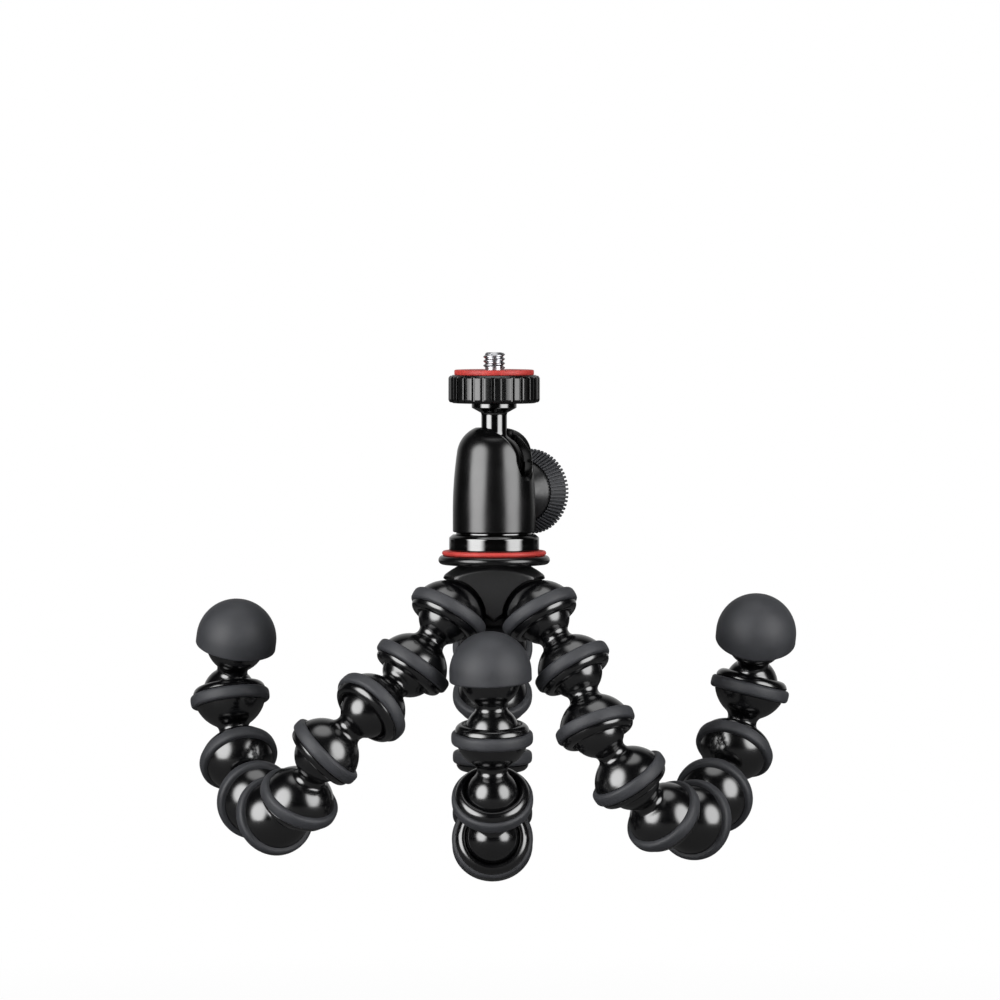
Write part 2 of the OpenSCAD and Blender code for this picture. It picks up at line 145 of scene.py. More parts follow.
# %% Satin and grained black ABS
moulded = {}
for name, dark, light, low, high, relief in (("satin_black_abs", "#040405", "#090909", 0.19, 0.25, 0.1),
                                             ("grained_black_abs", "#0c0c0d", "#141415", 0.36, 0.46, 0.25)):
    moulded[name], tree = start(name)
    place = add(tree, "ShaderNodeTexCoord")
    texture = add(tree, "ShaderNodeTexNoise", {"Scale": per_metre(0.4), "Detail": 3.0},
                  {"Vector": place.outputs["Object"]})
    tint = add(tree, "ShaderNodeValToRGB", {"ramp": [(0.3, linear(dark)), (0.7, linear(light))]},
               {"Fac": texture.outputs["Fac"]})
    rough = add(tree, "ShaderNodeMapRange", {"From Min": 0.3, "From Max": 0.7, "To Min": low, "To Max": high},
                {"Value": texture.outputs["Fac"]})
    bump = add(tree, "ShaderNodeBump", {"Strength": relief, "Distance": 0.05 * MM},
               {"Height": texture.outputs["Fac"]})
    shader = add(tree, "ShaderNodeBsdfPrincipled", {"IOR": 1.6},
                 {"Base Color": tint.outputs["Color"], "Roughness": rough.outputs["Result"],
                  "Normal": bump.outputs["Normal"]})
    add(tree, "ShaderNodeOutputMaterial", links={"Surface": shader.outputs["BSDF"]})
abs_satin, abs_grained = moulded.values()
print("made", ", ".join(moulded))

# %% [markdown]
# ## Grip rubber
# The rings and feet are a soft thermoplastic rubber. Its surface is matte with a fine spark-eroded grain, a
# little bluer and lighter than the plastic, and it takes dust unevenly. The real grain is about 0.1 mm,
# too fine for this picture, so it is drawn at 0.35 mm.

# %% Grip rubber
rubber, tree = start("matte_grip_rubber")
place = add(tree, "ShaderNodeTexCoord")
dust = add(tree, "ShaderNodeTexNoise", {"Scale": per_metre(6), "Detail": 5.0, "Roughness": 0.65},
           {"Vector": place.outputs["Object"]})
grain = add(tree, "ShaderNodeTexNoise", {"Scale": per_metre(0.35), "Detail": 2.0},
            {"Vector": place.outputs["Object"]})
tint = add(tree, "ShaderNodeValToRGB", {"ramp": [(0.3, linear("#27282b")), (0.75, linear("#323337"))]},
           {"Fac": dust.outputs["Fac"]})
matte = add(tree, "ShaderNodeMapRange", {"From Min": 0.3, "From Max": 0.7, "To Min": 0.54, "To Max": 0.64},
            {"Value": dust.outputs["Fac"]})
bump = add(tree, "ShaderNodeBump", {"Strength": 0.12, "Distance": 0.06 * MM},
           {"Height": grain.outputs["Fac"]})
shader = add(tree, "ShaderNodeBsdfPrincipled", {"IOR": 1.5},
             {"Base Color": tint.outputs["Color"], "Roughness": matte.outputs["Result"],
              "Normal": bump.outputs["Normal"]})
add(tree, "ShaderNodeOutputMaterial", links={"Surface": shader.outputs["BSDF"]})
print("made", rubber.name)

# %% [markdown]
# ## Red silicone
# The pad on the lock disc and the ring under the head are red silicone, moulded and matte. A slow change of
# shade and a fine grain are enough, since both show only as thin lines.

# %% Red silicone
silicone, tree = start("red_silicone")
place = add(tree, "ShaderNodeTexCoord")
cloud = add(tree, "ShaderNodeTexNoise", {"Scale": per_metre(4), "Detail": 4.0},
            {"Vector": place.outputs["Object"]})
grain = add(tree, "ShaderNodeTexNoise", {"Scale": per_metre(0.3), "Detail": 2.0},
            {"Vector": place.outputs["Object"]})
tint = add(tree, "ShaderNodeValToRGB", {"ramp": [(0.3, linear("#9c2a26")), (0.75, linear("#b23832"))]},
           {"Fac": cloud.outputs["Fac"]})
bump = add(tree, "ShaderNodeBump", {"Strength": 0.1, "Distance": 0.05 * MM}, {"Height": grain.outputs["Fac"]})
shader = add(tree, "ShaderNodeBsdfPrincipled", {"IOR": 1.43, "Roughness": 0.5},
             {"Base Color": tint.outputs["Color"], "Normal": bump.outputs["Normal"]})
add(tree, "ShaderNodeOutputMaterial", links={"Surface": shader.outputs["BSDF"]})
print("made", silicone.name)

# %% [markdown]
# ## Black anodised aluminium
# The ball housing and the lock disc are turned aluminium, bead blasted and then anodised black. The oxide is
# a hard clear layer with an IOR of about 1.6, and the blasting spreads its shine into broad soft bands with a
# fine sparkle. The blast marks are about 0.1 mm and are drawn at 0.3 mm.

# %% Black anodised aluminium
anodised, tree = start("black_anodised_aluminium")
place = add(tree, "ShaderNodeTexCoord")
blast = add(tree, "ShaderNodeTexNoise", {"Scale": per_metre(0.3), "Detail": 3.0, "Roughness": 0.7},
            {"Vector": place.outputs["Object"]})
cloud = add(tree, "ShaderNodeTexNoise", {"Scale": per_metre(7), "Detail": 3.0},
            {"Vector": place.outputs["Object"]})
tint = add(tree, "ShaderNodeValToRGB", {"ramp": [(0.35, linear("#020202")), (0.7, linear("#070708"))]},
           {"Fac": blast.outputs["Fac"]})
satin = add(tree, "ShaderNodeMapRange", {"From Min": 0.3, "From Max": 0.7, "To Min": 0.2, "To Max": 0.26},
            {"Value": cloud.outputs["Fac"]})
bump = add(tree, "ShaderNodeBump", {"Strength": 0.12, "Distance": 0.04 * MM},
           {"Height": blast.outputs["Fac"]})
shader = add(tree, "ShaderNodeBsdfPrincipled", {"IOR": 1.6},
             {"Base Color": tint.outputs["Color"], "Roughness": satin.outputs["Result"],
              "Normal": bump.outputs["Normal"]})
add(tree, "ShaderNodeOutputMaterial", links={"Surface": shader.outputs["BSDF"]})
print("made", anodised.name)

# %% [markdown]
# ## Polished black oxide
# The collar, the stem and the ball are polished before they are blackened, so they mirror the lamps sharply.
# Faint turning lines remain: bands about 2.5 mm apart along the axis that only change the roughness a little.
# The wave texture multiplies its coordinates by 20, which is divided out here.

# %% Polished black oxide
polished, tree = start("polished_black_oxide")
place = add(tree, "ShaderNodeTexCoord")
lines = add(tree, "ShaderNodeTexWave", {"wave_type": "BANDS", "bands_direction": "Z",
                                        "Scale": per_metre(0.4) / 20, "Distortion": 1.5, "Detail": 2.0},
            {"Vector": place.outputs["Object"]})
smear = add(tree, "ShaderNodeTexNoise", {"Scale": per_metre(3), "Detail": 4.0},
            {"Vector": place.outputs["Object"]})
tint = add(tree, "ShaderNodeValToRGB", {"ramp": [(0.3, linear("#010101")), (0.8, linear("#030303"))]},
           {"Fac": smear.outputs["Fac"]})
shine = add(tree, "ShaderNodeMapRange", {"To Min": 0.06, "To Max": 0.12}, {"Value": lines.outputs["Fac"]})
shader = add(tree, "ShaderNodeBsdfPrincipled", {"IOR": 2.0},
             {"Base Color": tint.outputs["Color"], "Roughness": shine.outputs["Result"]})
add(tree, "ShaderNodeOutputMaterial", links={"Surface": shader.outputs["BSDF"]})
print("made", polished.name)

# %% [markdown]
# ## Satin knob metal and hidden metals
# The knob's core is turned and blackened aluminium with a satin face. The bolts are zinc plated steel and the
# insert is brass: bare metals, so they keep the default IOR and a metallic of 1. The seat and the washer are
# natural acetal, a waxy off-white plastic.

# %% Satin metal, steel, brass and acetal
finishes = {}
for name, dark, light, metallic, low, high in (
        ("satin_turned_aluminium", "#141415", "#1e1e1f", 0.0, 0.28, 0.4),
        ("zinc_plated_steel", "#9a9b9e", "#b9babd", 1.0, 0.22, 0.36),
        ("turned_brass", "#a8823c", "#c39c52", 1.0, 0.2, 0.34),
        ("natural_acetal", "#d9d4c8", "#e6e2d8", 0.0, 0.4, 0.5)):
    finishes[name], tree = start(name)
    place = add(tree, "ShaderNodeTexCoord")
    cloud = add(tree, "ShaderNodeTexNoise", {"Scale": per_metre(1.2), "Detail": 5.0, "Roughness": 0.6},
                {"Vector": place.outputs["Object"]})
    tint = add(tree, "ShaderNodeValToRGB", {"ramp": [(0.3, linear(dark)), (0.7, linear(light))]},
               {"Fac": cloud.outputs["Fac"]})
    rough = add(tree, "ShaderNodeMapRange", {"From Min": 0.3, "From Max": 0.7, "To Min": low, "To Max": high},
                {"Value": cloud.outputs["Fac"]})
    shader = add(tree, "ShaderNodeBsdfPrincipled", {"Metallic": metallic},
                 {"Base Color": tint.outputs["Color"], "Roughness": rough.outputs["Result"]})
    add(tree, "ShaderNodeOutputMaterial", links={"Surface": shader.outputs["BSDF"]})
satin, steel, brass, acetal = finishes.values()
print("made", ", ".join(finishes))

# %% [markdown]
# ## Spun shapes
# Nearly every piece here was turned on a lathe or moulded round an axis, so it starts as an outline of
# radius and height in millimetres that the spin operator sweeps once round. A wire outline can have its
# corners rounded by a vertex bevel first, which is how a turner breaks the edges. Smooth shading would bend
# the light along a whole straight wall towards its rounded ends, so long lines get a point near each end.

# %% Helpers for meshes
def arc(radius, height, size, first, last, count):
    """Points of an arc in the outline's plane, with its angles in degrees from the outward direction."""
    steps = [math.radians(first + (last - first) * i / count) for i in range(count + 1)]
    return [(radius + size * math.cos(a), height + size * math.sin(a)) for a in steps]


def hold_ends(bm, longest=2.0, near=0.25):
    """Split every line longer than some millimetres near both of its ends."""
    for line in [e for e in bm.edges if e.calc_length() > longest * MM]:
        for end in line.verts[:]:
            bmesh.utils.edge_split(line, end, near * MM / line.calc_length())


def spun(outline, steps=72, soften=0.0, closed=False, angle=360.0):
    """Spin an outline, given as radius and height in millimetres, round the Z axis."""
    bm = bmesh.new()
    points = [bm.verts.new((r * MM, 0, z * MM)) for r, z in outline]
    lines = [bm.edges.new(pair) for pair in zip(points, points[1:])]
    if closed:
        lines.append(bm.edges.new((points[-1], points[0])))
    if soften:
        corners = [v for v in points if len(v.link_edges) == 2]
        bmesh.ops.bevel(bm, geom=corners, offset=soften * MM, affect="VERTICES", segments=3, profile=0.5,
                        material=-1, clamp_overlap=True)
    hold_ends(bm)
    full = angle == 360.0
    bmesh.ops.spin(bm, geom=bm.verts[:] + bm.edges[:], cent=(0, 0, 0), axis=(0, 0, 1),
                   angle=math.radians(angle), steps=steps, use_merge=full, use_duplicate=False)
    bmesh.ops.remove_doubles(bm, verts=bm.verts, dist=1e-6)
    bmesh.ops.recalc_face_normals(bm, faces=bm.faces)
    return bm


def aimed(point, heading):
    """The matrix that puts a spun shape's Z axis along a heading, with its origin at a point."""
    return Matrix.Translation(point) @ Vector(heading).to_track_quat("Z", "Y").to_matrix().to_4x4()


def heading(turn, slope):
    """The unit vector of a turn round from the front and a slope upwards, in degrees."""
    t, s = math.radians(turn), math.radians(slope)
    return Vector((math.sin(t) * math.cos(s), -math.cos(t) * math.cos(s), math.sin(s)))


def piece(name, bm, body, material, place=None, replaces=(), crease=40):
    """Make an object of a bmesh, put its place into the mesh, and let it ride on a CAD body."""
    if place is not None:
        bm.transform(place)
    mesh = bpy.data.meshes.new(name)
    bm.to_mesh(mesh)
    bm.free()
    mesh.shade_smooth()
    mesh.set_sharp_from_angle(angle=math.radians(crease))
    mesh.materials.append(material)
    made = bpy.data.objects.new(name, mesh)
    bpy.context.scene.collection.objects.link(made)
    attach(made, body)
    if replaces:
        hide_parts(*replaces)


def closed_up(bm):
    """Fill the open ends of a shape and turn its faces outwards."""
    bmesh.ops.holes_fill(bm, edges=bm.edges, sides=0)
    bmesh.ops.recalc_face_normals(bm, faces=bm.faces)


def copied_round(bm, count):
    """Copy a shape round the Z axis until there are so many of it."""
    bmesh.ops.spin(bm, geom=bm.faces[:] + bm.edges[:] + bm.verts[:], cent=(0, 0, 0), axis=(0, 0, 1),
                   angle=math.radians(360 - 360 / count), steps=count - 1, use_duplicate=True)


def taken_in(bm, other):
    """Add another shape's mesh to a shape and free the other one."""
    mesh = bpy.data.meshes.new("taken_in")
    other.to_mesh(mesh)
    other.free()
    bm.from_mesh(mesh)
    bpy.data.meshes.remove(mesh)


print("helpers ready")

# %% [markdown]
# ## The leg links
# A link is a ball, a concave neck and a domed cup that holds the next ball. The neck is one fillet that
# touches the ball and the dome, so its centre follows from the two radii. The cup ends in a rounded lip,
# and its mouth flares so that the next neck can lean 40 degrees before it touches.

# %% Outlines of a link and its ring
PITCH, BALL, DOME, FILLET, HOLLOW = 18.6, 7.85, 10.7, 2.1, 8.0


def necked(ball, dome, pitch, fillet):
    """Outline of a ball and the fillet that leads to a dome, and the angle where the dome starts."""
    height = (pitch ** 2 - (dome + fillet) ** 2 + (ball + fillet) ** 2) / (2 * pitch)
    radius = math.sqrt((ball + fillet) ** 2 - height ** 2)
    leaves = math.degrees(math.atan2(height, radius))
    lands = math.degrees(math.atan2(height - pitch, radius))
    neck = arc(radius, height, fillet, leaves + 180, lands + 180, 10)[1:]
    return arc(0, 0, ball, -90, leaves, 24) + neck, lands


def cup(first):
    """Outline of a cup round its ball's centre, from an angle on its dome to the middle of its hollow."""
    return (arc(0, 0, DOME, first, -19.4, 12)
            + [(9.95, -3.53), (9.8, -3.4), (9.8, 0.28), (10.3, 0.34), (10.58, 0.45)]
            + arc(8.4, 0.3, 2.3, 8, 84, 10)
            + [(8.4, 2.55), (8.2, 2.4), (7.79, 1.8)]
            + arc(0, 0, HOLLOW, 13, -90, 14)[1:])


link_start, dome_start = necked(BALL, DOME, PITCH, FILLET)
link_outline = link_start + [(r, z + PITCH) for r, z in cup(dome_start)[1:]]
RING_AT = PITCH - 1.55
ring_outline = ([(9.92, RING_AT - 1.86)] + arc(10.62, RING_AT - 0.78, 1.08, -90, -14, 6)
                + [(11.74, RING_AT - 0.4), (11.74, RING_AT + 0.4)]
                + arc(10.62, RING_AT + 0.78, 1.08, 14, 90, 6) + [(9.92, RING_AT + 1.86)])
print("a link's outline has", len(link_outline), "points, and its neck is",
      round(2 * min(r for r, z in link_start[20:]), 2), "mm thick")

# %% [markdown]
# ## Three curled legs
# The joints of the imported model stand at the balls' centres, so two neighbouring joints give a link's place
# and heading. Only the feet need a heading of their own, because no joint follows them.

# %% Links and rings
FOOT_AIM = {"right": (8, 62), "left": (24, 71), "back": (345, 84)}
centres = {side: [Vector(joints[f"{side}_ball_{k}"]["pos_m"]) for k in range(1, 10)] for side in FOOT_AIM}
for side, balls in centres.items():
    for k in range(1, 9):
        body = f"{side}_link_{k}"
        place = aimed(balls[k - 1], balls[k] - balls[k - 1])
        piece(f"{body}_moulding", spun(link_outline), body, abs_black, place, [body])
        piece(f"{body}_ring", spun(ring_outline, closed=True), body, rubber, place)
print("made", 2 * 8 * len(centres), "link pieces")

# %% [markdown]
# ## The feet
# Each leg ends in a bowl with a thick rubber cap pulled over it. The cap is half a ball with a short straight
# skirt and a rounded edge, so its outline runs down the outside, round the edge and up the inside.

# %% Foot mouldings and caps
FOOT, BOWL, BOWL_AT, CAP = 17.4, 8.75, 16.0, 11.8
foot_start, bowl_start = necked(BALL, BOWL, BOWL_AT, 2.0)
foot_outline = foot_start + [(r, z + BOWL_AT) for r, z in arc(0, 0, BOWL, bowl_start, 90, 24)[1:]]
cap_outline = (arc(0, FOOT, CAP, 90, 0, 28) + [(CAP, FOOT - 1.0)] + arc(11.25, FOOT - 2.05, 0.55, 0, -90, 6)
               + [(9.6, FOOT - 2.6), (9.1, FOOT - 2.2)] + arc(0, FOOT, 9.4, -12, 90, 12))
for side, balls in centres.items():
    place = aimed(balls[8], heading(*FOOT_AIM[side]))
    body = f"{side}_foot"
    piece(f"{body}_moulding", spun(foot_outline), body, abs_black, place, [f"{body}_core"])
    piece(f"{body}_cap_dome", spun(cap_outline), body, rubber, place, [f"{body}_cap"])
print("made the feet; a cap is", 2 * CAP, "mm across")

# %% [markdown]
# ## The hub
# The hub is one moulding: a core with three flat faces, each of which shows as a plain shield between two
# sockets, and three cups like those of the links. The core is spun finely. Every point of it then moves in
# towards the axis until it lies on a flat face and is clear of the sockets' room. A soft minimum of the
# radii rounds the shields' edges.

# %% Hub core
SOCKETS = {"right": 60, "left": -60, "back": 180}
SOCKET_R, SOCKET_Z, SLOPE = 16.0, 31.0, math.radians(56)
BEHIND, BESIDE, RING_END, RECESS = DOME + 0.9, 11.95, -3.55, 6.05
TIP_Z, TIP_RISE, TIP_STEEP = 29.5, 0.6, 4.0
FACE, FACE_LEAN, FACE_BLEND, EDGE_BLEND = 9.4, 0.12, 1.2, 0.8
CORE_FOOT, CORE_WALL, CORE_TOP, HALVINGS = 28.5, 15.5, 45.8, 14


def in_socket(reach, turn, height):
    """Whether a point lies in a socket's room, which is a ball behind it and a tube beside its ring."""
    offset = math.radians(turn % 120 - 60)
    across, rise = reach * math.cos(offset) - SOCKET_R, height - SOCKET_Z
    along = across * math.cos(SLOPE) - rise * math.sin(SLOPE)
    span = across ** 2 + (reach * math.sin(offset)) ** 2 + rise ** 2
    return span < BEHIND ** 2 or (along > RING_END and span - along ** 2 < BESIDE ** 2)


def below_tip(reach, turn, height):
    """Whether a point lies under the pointed end of a shield, outside a wall that rises to both sides."""
    aside = reach * abs(math.sin(math.radians((turn + 60) % 120 - 60)))
    return reach > RECESS + TIP_STEEP * (height - TIP_Z - TIP_RISE * aside)


def cut_away(*point):
    """Whether the core has to leave a point free."""
    return in_socket(*point) or below_tip(*point)


def lesser(one, other, blend):
    """The lesser of two radii, rounded where they differ by less than a blend."""
    near = max(blend - abs(one - other), 0) / blend
    return min(one, other) - near ** 2 * blend / 4


def faced(reach, turn, height):
    """The radius of the core with its three flat faces, which lean in a little towards their tips."""
    face = FACE + FACE_LEAN * (height - SOCKET_Z)
    return lesser(reach, face / math.cos(math.radians((turn + 60) % 120 - 60)), FACE_BLEND)


def cleared(reach, turn, height, beyond=2.0):
    """The radius at which the core's surface stays clear of the sockets."""
    inner, outer = RECESS, reach + beyond
    if not cut_away(outer, turn, height):
        return reach
    for _ in range(HALVINGS):
        middle = (inner + outer) / 2
        inner, outer = (inner, middle) if cut_away(middle, turn, height) else (middle, outer)
    return max(lesser(reach, outer, EDGE_BLEND), RECESS)


WALL_FROM, WALL_TO, ROWS = 28.8, 42, 66
wall = [(CORE_WALL, WALL_FROM + (WALL_TO - WALL_FROM) * i / ROWS) for i in range(ROWS + 1)]
shoulder = [(15.4, 42.3), (15.2, 42.7), (14.9, 43.0), (14.4, 43.3), (13.9, 43.55), (13.4, 43.8)]
shoulder += [(12.9, 44.05), (12.4, 44.3), (11.9, 44.55), (11.4, 44.8), (10.8, 45.2), (10.5, 45.5)]
shoulder += [(10.4, CORE_TOP)]
bore = [(3.28, CORE_TOP), (3.28, 39.3), (5.9, 39.3), (5.9, CORE_FOOT), (CORE_WALL, CORE_FOOT)]
core = spun(bore + wall + shoulder, 360, closed=True)
moved = 0
for point in core.verts:
    reach = point.co.xy.length / MM
    if reach > RECESS:
        turn, height = math.degrees(math.atan2(point.co.x, -point.co.y)), point.co.z / MM
        clear = cleared(faced(reach, turn, height), turn, height)
        moved += clear < reach
        point.co.xy *= clear / reach
AXIS = Vector((0, joints["head_pan"]["pos_m"][1], 0))
piece("hub_shields", core, "hub", abs_grained, Matrix.Translation(AXIS), ["hub_body"],
      crease=75)
print("made the hub's core and moved", moved, "of its points")

# %% Hub sockets
for side, turn in SOCKETS.items():
    seat = aimed(centres[side][0], heading(turn, -math.degrees(SLOPE)))
    piece(f"hub_socket_{side}", spun(cup(-90)), "hub", abs_black, seat)
    piece(f"hub_ring_{side}", spun([(r, z - PITCH) for r, z in ring_outline], closed=True), "hub", rubber,
          seat, ["hub_grip_rings"] if side == "right" else ())
print("made", len(SOCKETS), "sockets with their rings")

# %% [markdown]
# ## The base stack
# Between the hub and the head lie a rounded flange, the red friction ring and the polished collar. They are
# plain turned rings, with every corner rounded by a few tenths of a millimetre.

# %% Flange, friction ring and collar
stack = Matrix.Translation(AXIS)
flange = [(3.3, 45.8)] + arc(14.8, 47.1, 1.3, -90, 90, 14) + [(3.3, 48.4)]
piece("flange_ring", spun(flange, 120, closed=True), "hub", abs_satin, stack, ["top_flange"])
red = [(8, 48.42)] + arc(14.37, 49.1, 0.68, -88, 88, 12) + [(8, 49.78)]
piece("friction_band", spun(red, 120, closed=True), "hub", silicone, stack, ["friction_ring"])
collar = [(5, 49.88), (13, 49.88), (13, 53.58), (11.9, 54.48), (11, 54.48), (11, 55.16), (5, 55.16)]
piece("collar_ring", spun(collar, 144, 0.22, True), "head", polished, stack, ["base_collar"])
print("made the base stack")

# %% [markdown]
# ## Cutting and softening
# The housing is not round all over, so its spun block is cut with the Boolean modifier. The cut edges would
# be razor sharp, and light only catches an edge that has some width, so a bevel goes on every edge that turns
# more than a set angle.

# %% Helpers for cut pieces
def cut(bm, tools, operation="DIFFERENCE"):
    """Cut a block with closed tools, or join them to it, by the Boolean modifier."""
    made = []
    for shape in [bm] + tools:
        mesh = bpy.data.meshes.new("cutting")
        shape.to_mesh(mesh)
        shape.free()
        made.append(bpy.data.objects.new("cutting", mesh))
        bpy.context.scene.collection.objects.link(made[-1])
    for tool in made[1:]:
        step = made[0].modifiers.new("cut", "BOOLEAN")
        step.operation = operation
        step.solver = "EXACT"
        step.object = tool
    result = made[0].evaluated_get(bpy.context.evaluated_depsgraph_get()).to_mesh()
    out = bmesh.new()
    out.from_mesh(result)
    for item in made:
        mesh = item.data
        bpy.data.objects.remove(item)
        bpy.data.meshes.remove(mesh)
    bmesh.ops.remove_doubles(out, verts=out.verts, dist=0.02 * MM)
    bmesh.ops.dissolve_degenerate(out, edges=out.edges, dist=0.01 * MM)
    bmesh.ops.holes_fill(out, edges=out.edges, sides=0)
    bmesh.ops.recalc_face_normals(out, faces=out.faces)
    return out


def soft_edges(bm, width, turn=32, edges=None):
    """Bevel every edge, or every one of those given, whose two faces turn more than an angle."""
    chosen = bm.edges if edges is None else edges
    sharp = [e for e in chosen if len(e.link_faces) == 2 and e.calc_face_angle() > math.radians(turn)]
    bmesh.ops.bevel(bm, geom=sharp, offset=width * MM, affect="EDGES", segments=2, profile=0.5, material=-1,
                    clamp_overlap=True)
    return len(sharp)


def cylinder(radius, low, high, steps):
    """A closed cylinder along Z, in millimetres."""
    return spun([(0, low), (radius, low), (radius, high), (0, high)], steps)


print("cutting helpers ready")

# %% [markdown]
# ## The ball housing
# The housing is a bullet with a hollow for the ball, a round mouth and a drop notch that lets the stem lie
# over to one side. A flat boss at the back carries the knob. Its cut edges keep a small bright chamfer.

# %% Housing
HOUSING_Z, BALL_Z, KNOB_Z, KNOB_TURN, NOTCH_TURN = 55.18, 75.38, 66.18, 151, 59
BULLET_R, FLANK_FROM, FLANK_H, FLANK_CURVE, BALL_UP = 11.95, 6, 17.24, 0.00419, 20.2
BOSS_FROM, BOSS_H, BOSS_NARROWS = 0.3, 16.9, 0.92
rises = [FLANK_H * i / 12 for i in range(12)]
flank = [(BULLET_R - FLANK_CURVE * rise ** 2, FLANK_FROM + rise) for rise in rises]
crown = arc(1.95, 21.95, 8.85, 8.4, 90, 18) + [(0, 30.8)]
bullet = spun([(0, 0), (11.7, 0), (BULLET_R, 0.25)] + flank + crown, 144)
boss = bmesh.new()
plan = [(0, -11.8), (3.9, -11.8), (12.4, -6.4), (12.4, 6.4), (3.9, 11.8), (0, 11.8)]
foot = boss.faces.new([boss.verts.new(Vector((x, y, BOSS_FROM)) * MM) for x, y in plan])
grown = bmesh.ops.extrude_face_region(boss, geom=[foot])["geom"]
raised = [v for v in grown if isinstance(v, bmesh.types.BMVert)]
bmesh.ops.translate(boss, verts=raised, vec=(0, 0, BOSS_H * MM))
bmesh.ops.scale(boss, verts=raised, vec=(1, BOSS_NARROWS, 1))
bmesh.ops.recalc_face_normals(boss, faces=boss.faces)
boss.transform(Matrix.Rotation(math.radians(KNOB_TURN - 90), 4, "Z"))
body = cut(bullet, [boss], "UNION")
ball_room = spun(arc(0, BALL_UP, 8.65, -90, 90, 32), 96)
mouth = cylinder(5.5, 21, 40, 96)
notch = Matrix.Rotation(math.radians(NOTCH_TURN - 90), 4, "Z") @ Matrix.Translation((0, 0, BALL_UP * MM))
notch_end = spun([(0, 2), (4.2, 2), (4.2, 10.5), (5.2, 11.5), (5.2, 16), (0, 16)], 64)
notch_end.transform(notch @ Matrix.Rotation(math.radians(90), 4, "Y"))
notch_way = spun([(2, -4.2), (11.4, -4.2), (15, -19.2), (15, 19.2), (11.4, 4.2), (2, 4.2)], 24, 0, True, 81)
closed_up(notch_way)
notch_way.transform(notch @ Matrix.Translation(Vector((-0.6, 0, -2.1)) * MM)
                    @ Matrix.Rotation(math.radians(90), 4, "X") @ Matrix.Rotation(math.radians(11), 4, "Z"))
seat_room = cylinder(8.95, 5.3, 20.35, 96)
insert_room = cylinder(5.0, -1, 6, 48)
screw_room = cylinder(3.1, 0, 20, 48)
screw_room.transform(Matrix.Translation((0, 0, (KNOB_Z - HOUSING_Z) * MM))
                     @ Matrix.Rotation(math.radians(90), 4, "Y"))
screw_room.transform(Matrix.Rotation(math.radians(KNOB_TURN - 90), 4, "Z"))
housing = cut(body, [ball_room, mouth, notch_end, notch_way, seat_room, insert_room, screw_room])
INSIDE, INNER_WALL, CHAMFER = 9.0, 9.2, 0.35
middle = Vector((0, 0, BALL_UP)) * MM
outside = [e for e in housing.edges if min((v.co - middle).length for v in e.verts) > INSIDE * MM
           and (min(v.co.xy.length for v in e.verts) > INNER_WALL * MM or e.verts[0].co.z > middle.z)]
beveled = soft_edges(housing, CHAMFER, edges=outside)
housing.transform(Matrix.Translation(Vector((0, 0, HOUSING_Z)) * MM))
piece("housing_shell", housing, "head", anodised, stack, ["ball_housing"])
print("made the housing with", beveled, "softened edges")

# %% [markdown]
# ## The stud and the lock disc
# The ball, its stem and the small flange are one turned stud. The lock disc above it has broad flutes for
# the fingers: one rounded tooth is swept over its share of the rim, softened, and copied round.

# %% Stud
stud = (arc(0, 0, 8.5, -90, 62, 28) + [(3.78, 8.0), (3.7, 8.6), (3.7, 13.7), (3.82, 14.2), (6.3, 15.55)]
        + [(6.5, 15.75), (6.5, 16.8), (6.35, 16.92), (4.2, 16.92), (4.2, 22.6), (0, 22.6)])
piece("stud_turning", spun(stud, 96), "ball_stud", polished,
      Matrix.Translation(AXIS + Vector((0, 0, BALL_Z)) * MM), ["ball_stud"])
print("made the stud")

# %% Lock disc
FLUTES, DISC_Z, TOOTH_SHARE = 28, 92.38, 0.74
share = 360 / FLUTES
rim = [(12.62, 0.6), (12.62, 7.5), (12.1, 8.1)]
disc = spun([(4.3, 0), (11.9, 0)] + rim + [(3.75, 8.1), (3.75, 5.8), (4.3, 5.8)], 112, 0.12, True)
tooth_side = [(12.3, 0.4), (12.55, 0.15), (12.95, 0.4), (13.2, 1.0), (13.2, 7.3), (12.7, 7.9), (12.3, 7.8)]
tooth = spun(tooth_side, 4, 0, True, share * TOOTH_SHARE)
closed_up(tooth)
soft_edges(tooth, 0.22)
copied_round(tooth, FLUTES)
taken_in(disc, tooth)
piece("lock_disc_fluted", disc, "camera_plate", anodised,
      Matrix.Translation(AXIS + Vector((0, 0, DISC_Z)) * MM), ["lock_disc"])
print("made the lock disc with", FLUTES, "flutes")

# %% [markdown]
# ## The pad and the screw
# The pad is a red silicone washer. The screw has a quarter inch thread of 20 turns to the inch: a small
# triangle is spun with a rise at every step, so the spin operator itself winds the thread.

# %% Pad and screw
PAD_Z, PAD_H, THREAD_PITCH = 100.48, 1.5, 1.27
pad = [(3.8, 0), (11.5, 0), (11.5, PAD_H), (3.8, PAD_H)]
piece("pad_washer", spun(pad, 120, 0.35, True), "camera_plate", silicone,
      Matrix.Translation(AXIS + Vector((0, 0, PAD_Z)) * MM), ["camera_pad"])
screw = spun([(0, -2.2), (3.7, -2.2), (3.7, PAD_H), (2.62, PAD_H), (2.62, 6.1), (2.2, 6.5), (0, 6.5)], 64)
thread = bmesh.new()
profile = ((2.55, 0, 0), (3.15, 0, 0.5), (3.15, 0, 0.66), (2.55, 0, 1.16))
corners = [thread.verts.new(Vector(point) * MM) for point in profile]
ridge = [thread.edges.new(pair) for pair in zip(corners, corners[1:] + corners[:1])]
turns, steps = 3, 48
bmesh.ops.spin(thread, geom=corners + ridge, cent=(0, 0, 0), axis=(0, 0, 1), angle=turns * 2 * math.pi,
               steps=turns * steps, dvec=(0, 0, THREAD_PITCH * MM / steps), use_duplicate=False)
closed_up(thread)
thread.transform(Matrix.Translation((0, 0, PAD_H * MM)))
taken_in(screw, thread)
